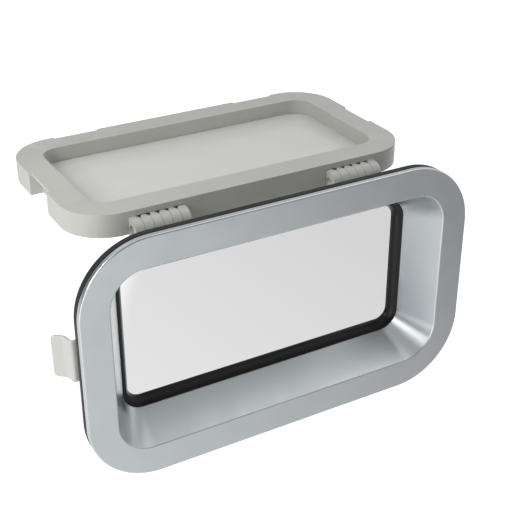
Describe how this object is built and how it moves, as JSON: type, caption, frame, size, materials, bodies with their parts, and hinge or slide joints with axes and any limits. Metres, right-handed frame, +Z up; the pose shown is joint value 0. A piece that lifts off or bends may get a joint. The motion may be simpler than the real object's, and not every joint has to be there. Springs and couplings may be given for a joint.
{
  "type": "deck hatch",
  "caption": "Opening hatch for a boat's cabin side: metal trim frame, black seals and a plastic lid on two knuckle hinges, with swing latches.",
  "frame": {"origin": "centre of the cut-out on the outer face of the wall, which is the seating plane of the flange gasket and the middle of every pattern of fixing holes", "axes": "+Z up, +Y inwards to the cabin and out of the fixing holes, +X to the right seen from outside the boat"},
  "size_m": [0.4194, 0.2482, 0.2505],
  "materials": {
    "trim_metal": "satin anodised, softly reflective in the tapered recess",
    "gasket_rubber": "matt black sheet rubber",
    "seal_rubber": "smooth black extruded rubber with a soft gloss",
    "frame_plastic": "fine-textured warm grey moulding",
    "lid_plastic": "fine-textured warm grey moulding, satin",
    "panel_plastic": "glossy opal grey sheet",
    "pale_rubber": "matt grey rubber",
    "latch_plastic": "satin light grey moulding",
    "stainless": "turned stainless steel",
    "nylon": "natural nylon"
  },
  "bodies": {
    "frame": {"outer_frame": "trim_metal", "flange_gasket": "gasket_rubber", "rear_frame": "frame_plastic", "joint_gasket": "gasket_rubber", "opening_seal": "seal_rubber", "frame_screws": "stainless", "hinge_bushes_left": "nylon", "hinge_bushes_right": "nylon", "latch_pin_left": "stainless", "latch_pin_right": "stainless", "latch_pin_bottom_left": "stainless", "latch_pin_bottom_right": "stainless", "latch_washers_left": "nylon", "latch_washers_right": "nylon", "latch_washers_bottom_left": "nylon", "latch_washers_bottom_right": "nylon"},
    "lid": {"lid_frame": "lid_plastic", "lid_panel": "panel_plastic", "panel_gasket": "pale_rubber", "hinge_pin_left": "stainless", "hinge_pin_right": "stainless"},
    "left_latch": {"latch_left": "latch_plastic"},
    "right_latch": {"latch_right": "latch_plastic"},
    "bottom_left_latch": {"latch_bottom_left": "latch_plastic"},
    "bottom_right_latch": {"latch_bottom_right": "latch_plastic"}
  },
  "joints": [
    {"name": "lid_hinge", "type": "hinge", "parent": "frame", "child": "lid", "pos_m": [0, 0.0403, 0.1002], "axis": [1, 0, 0], "range_deg": [-90, 90]},
    {"name": "left_latch_pivot", "type": "hinge", "parent": "frame", "child": "left_latch", "pos_m": [-0.1697, 0.0295, 0], "axis": [0, 0, 1], "range_deg": [-101, 0]},
    {"name": "right_latch_pivot", "type": "hinge", "parent": "frame", "child": "right_latch", "pos_m": [0.1697, 0.0295, 0], "axis": [0, 0, 1], "range_deg": [0, 101]},
    {"name": "bottom_left_latch_pivot", "type": "hinge", "parent": "frame", "child": "bottom_left_latch", "pos_m": [-0.1006, 0.0295, -0.0905], "axis": [1, 0, 0], "range_deg": [0, 101]},
    {"name": "bottom_right_latch_pivot", "type": "hinge", "parent": "frame", "child": "bottom_right_latch", "pos_m": [0.1006, 0.0295, -0.0905], "axis": [1, 0, 0], "range_deg": [0, 101]}
  ]
}
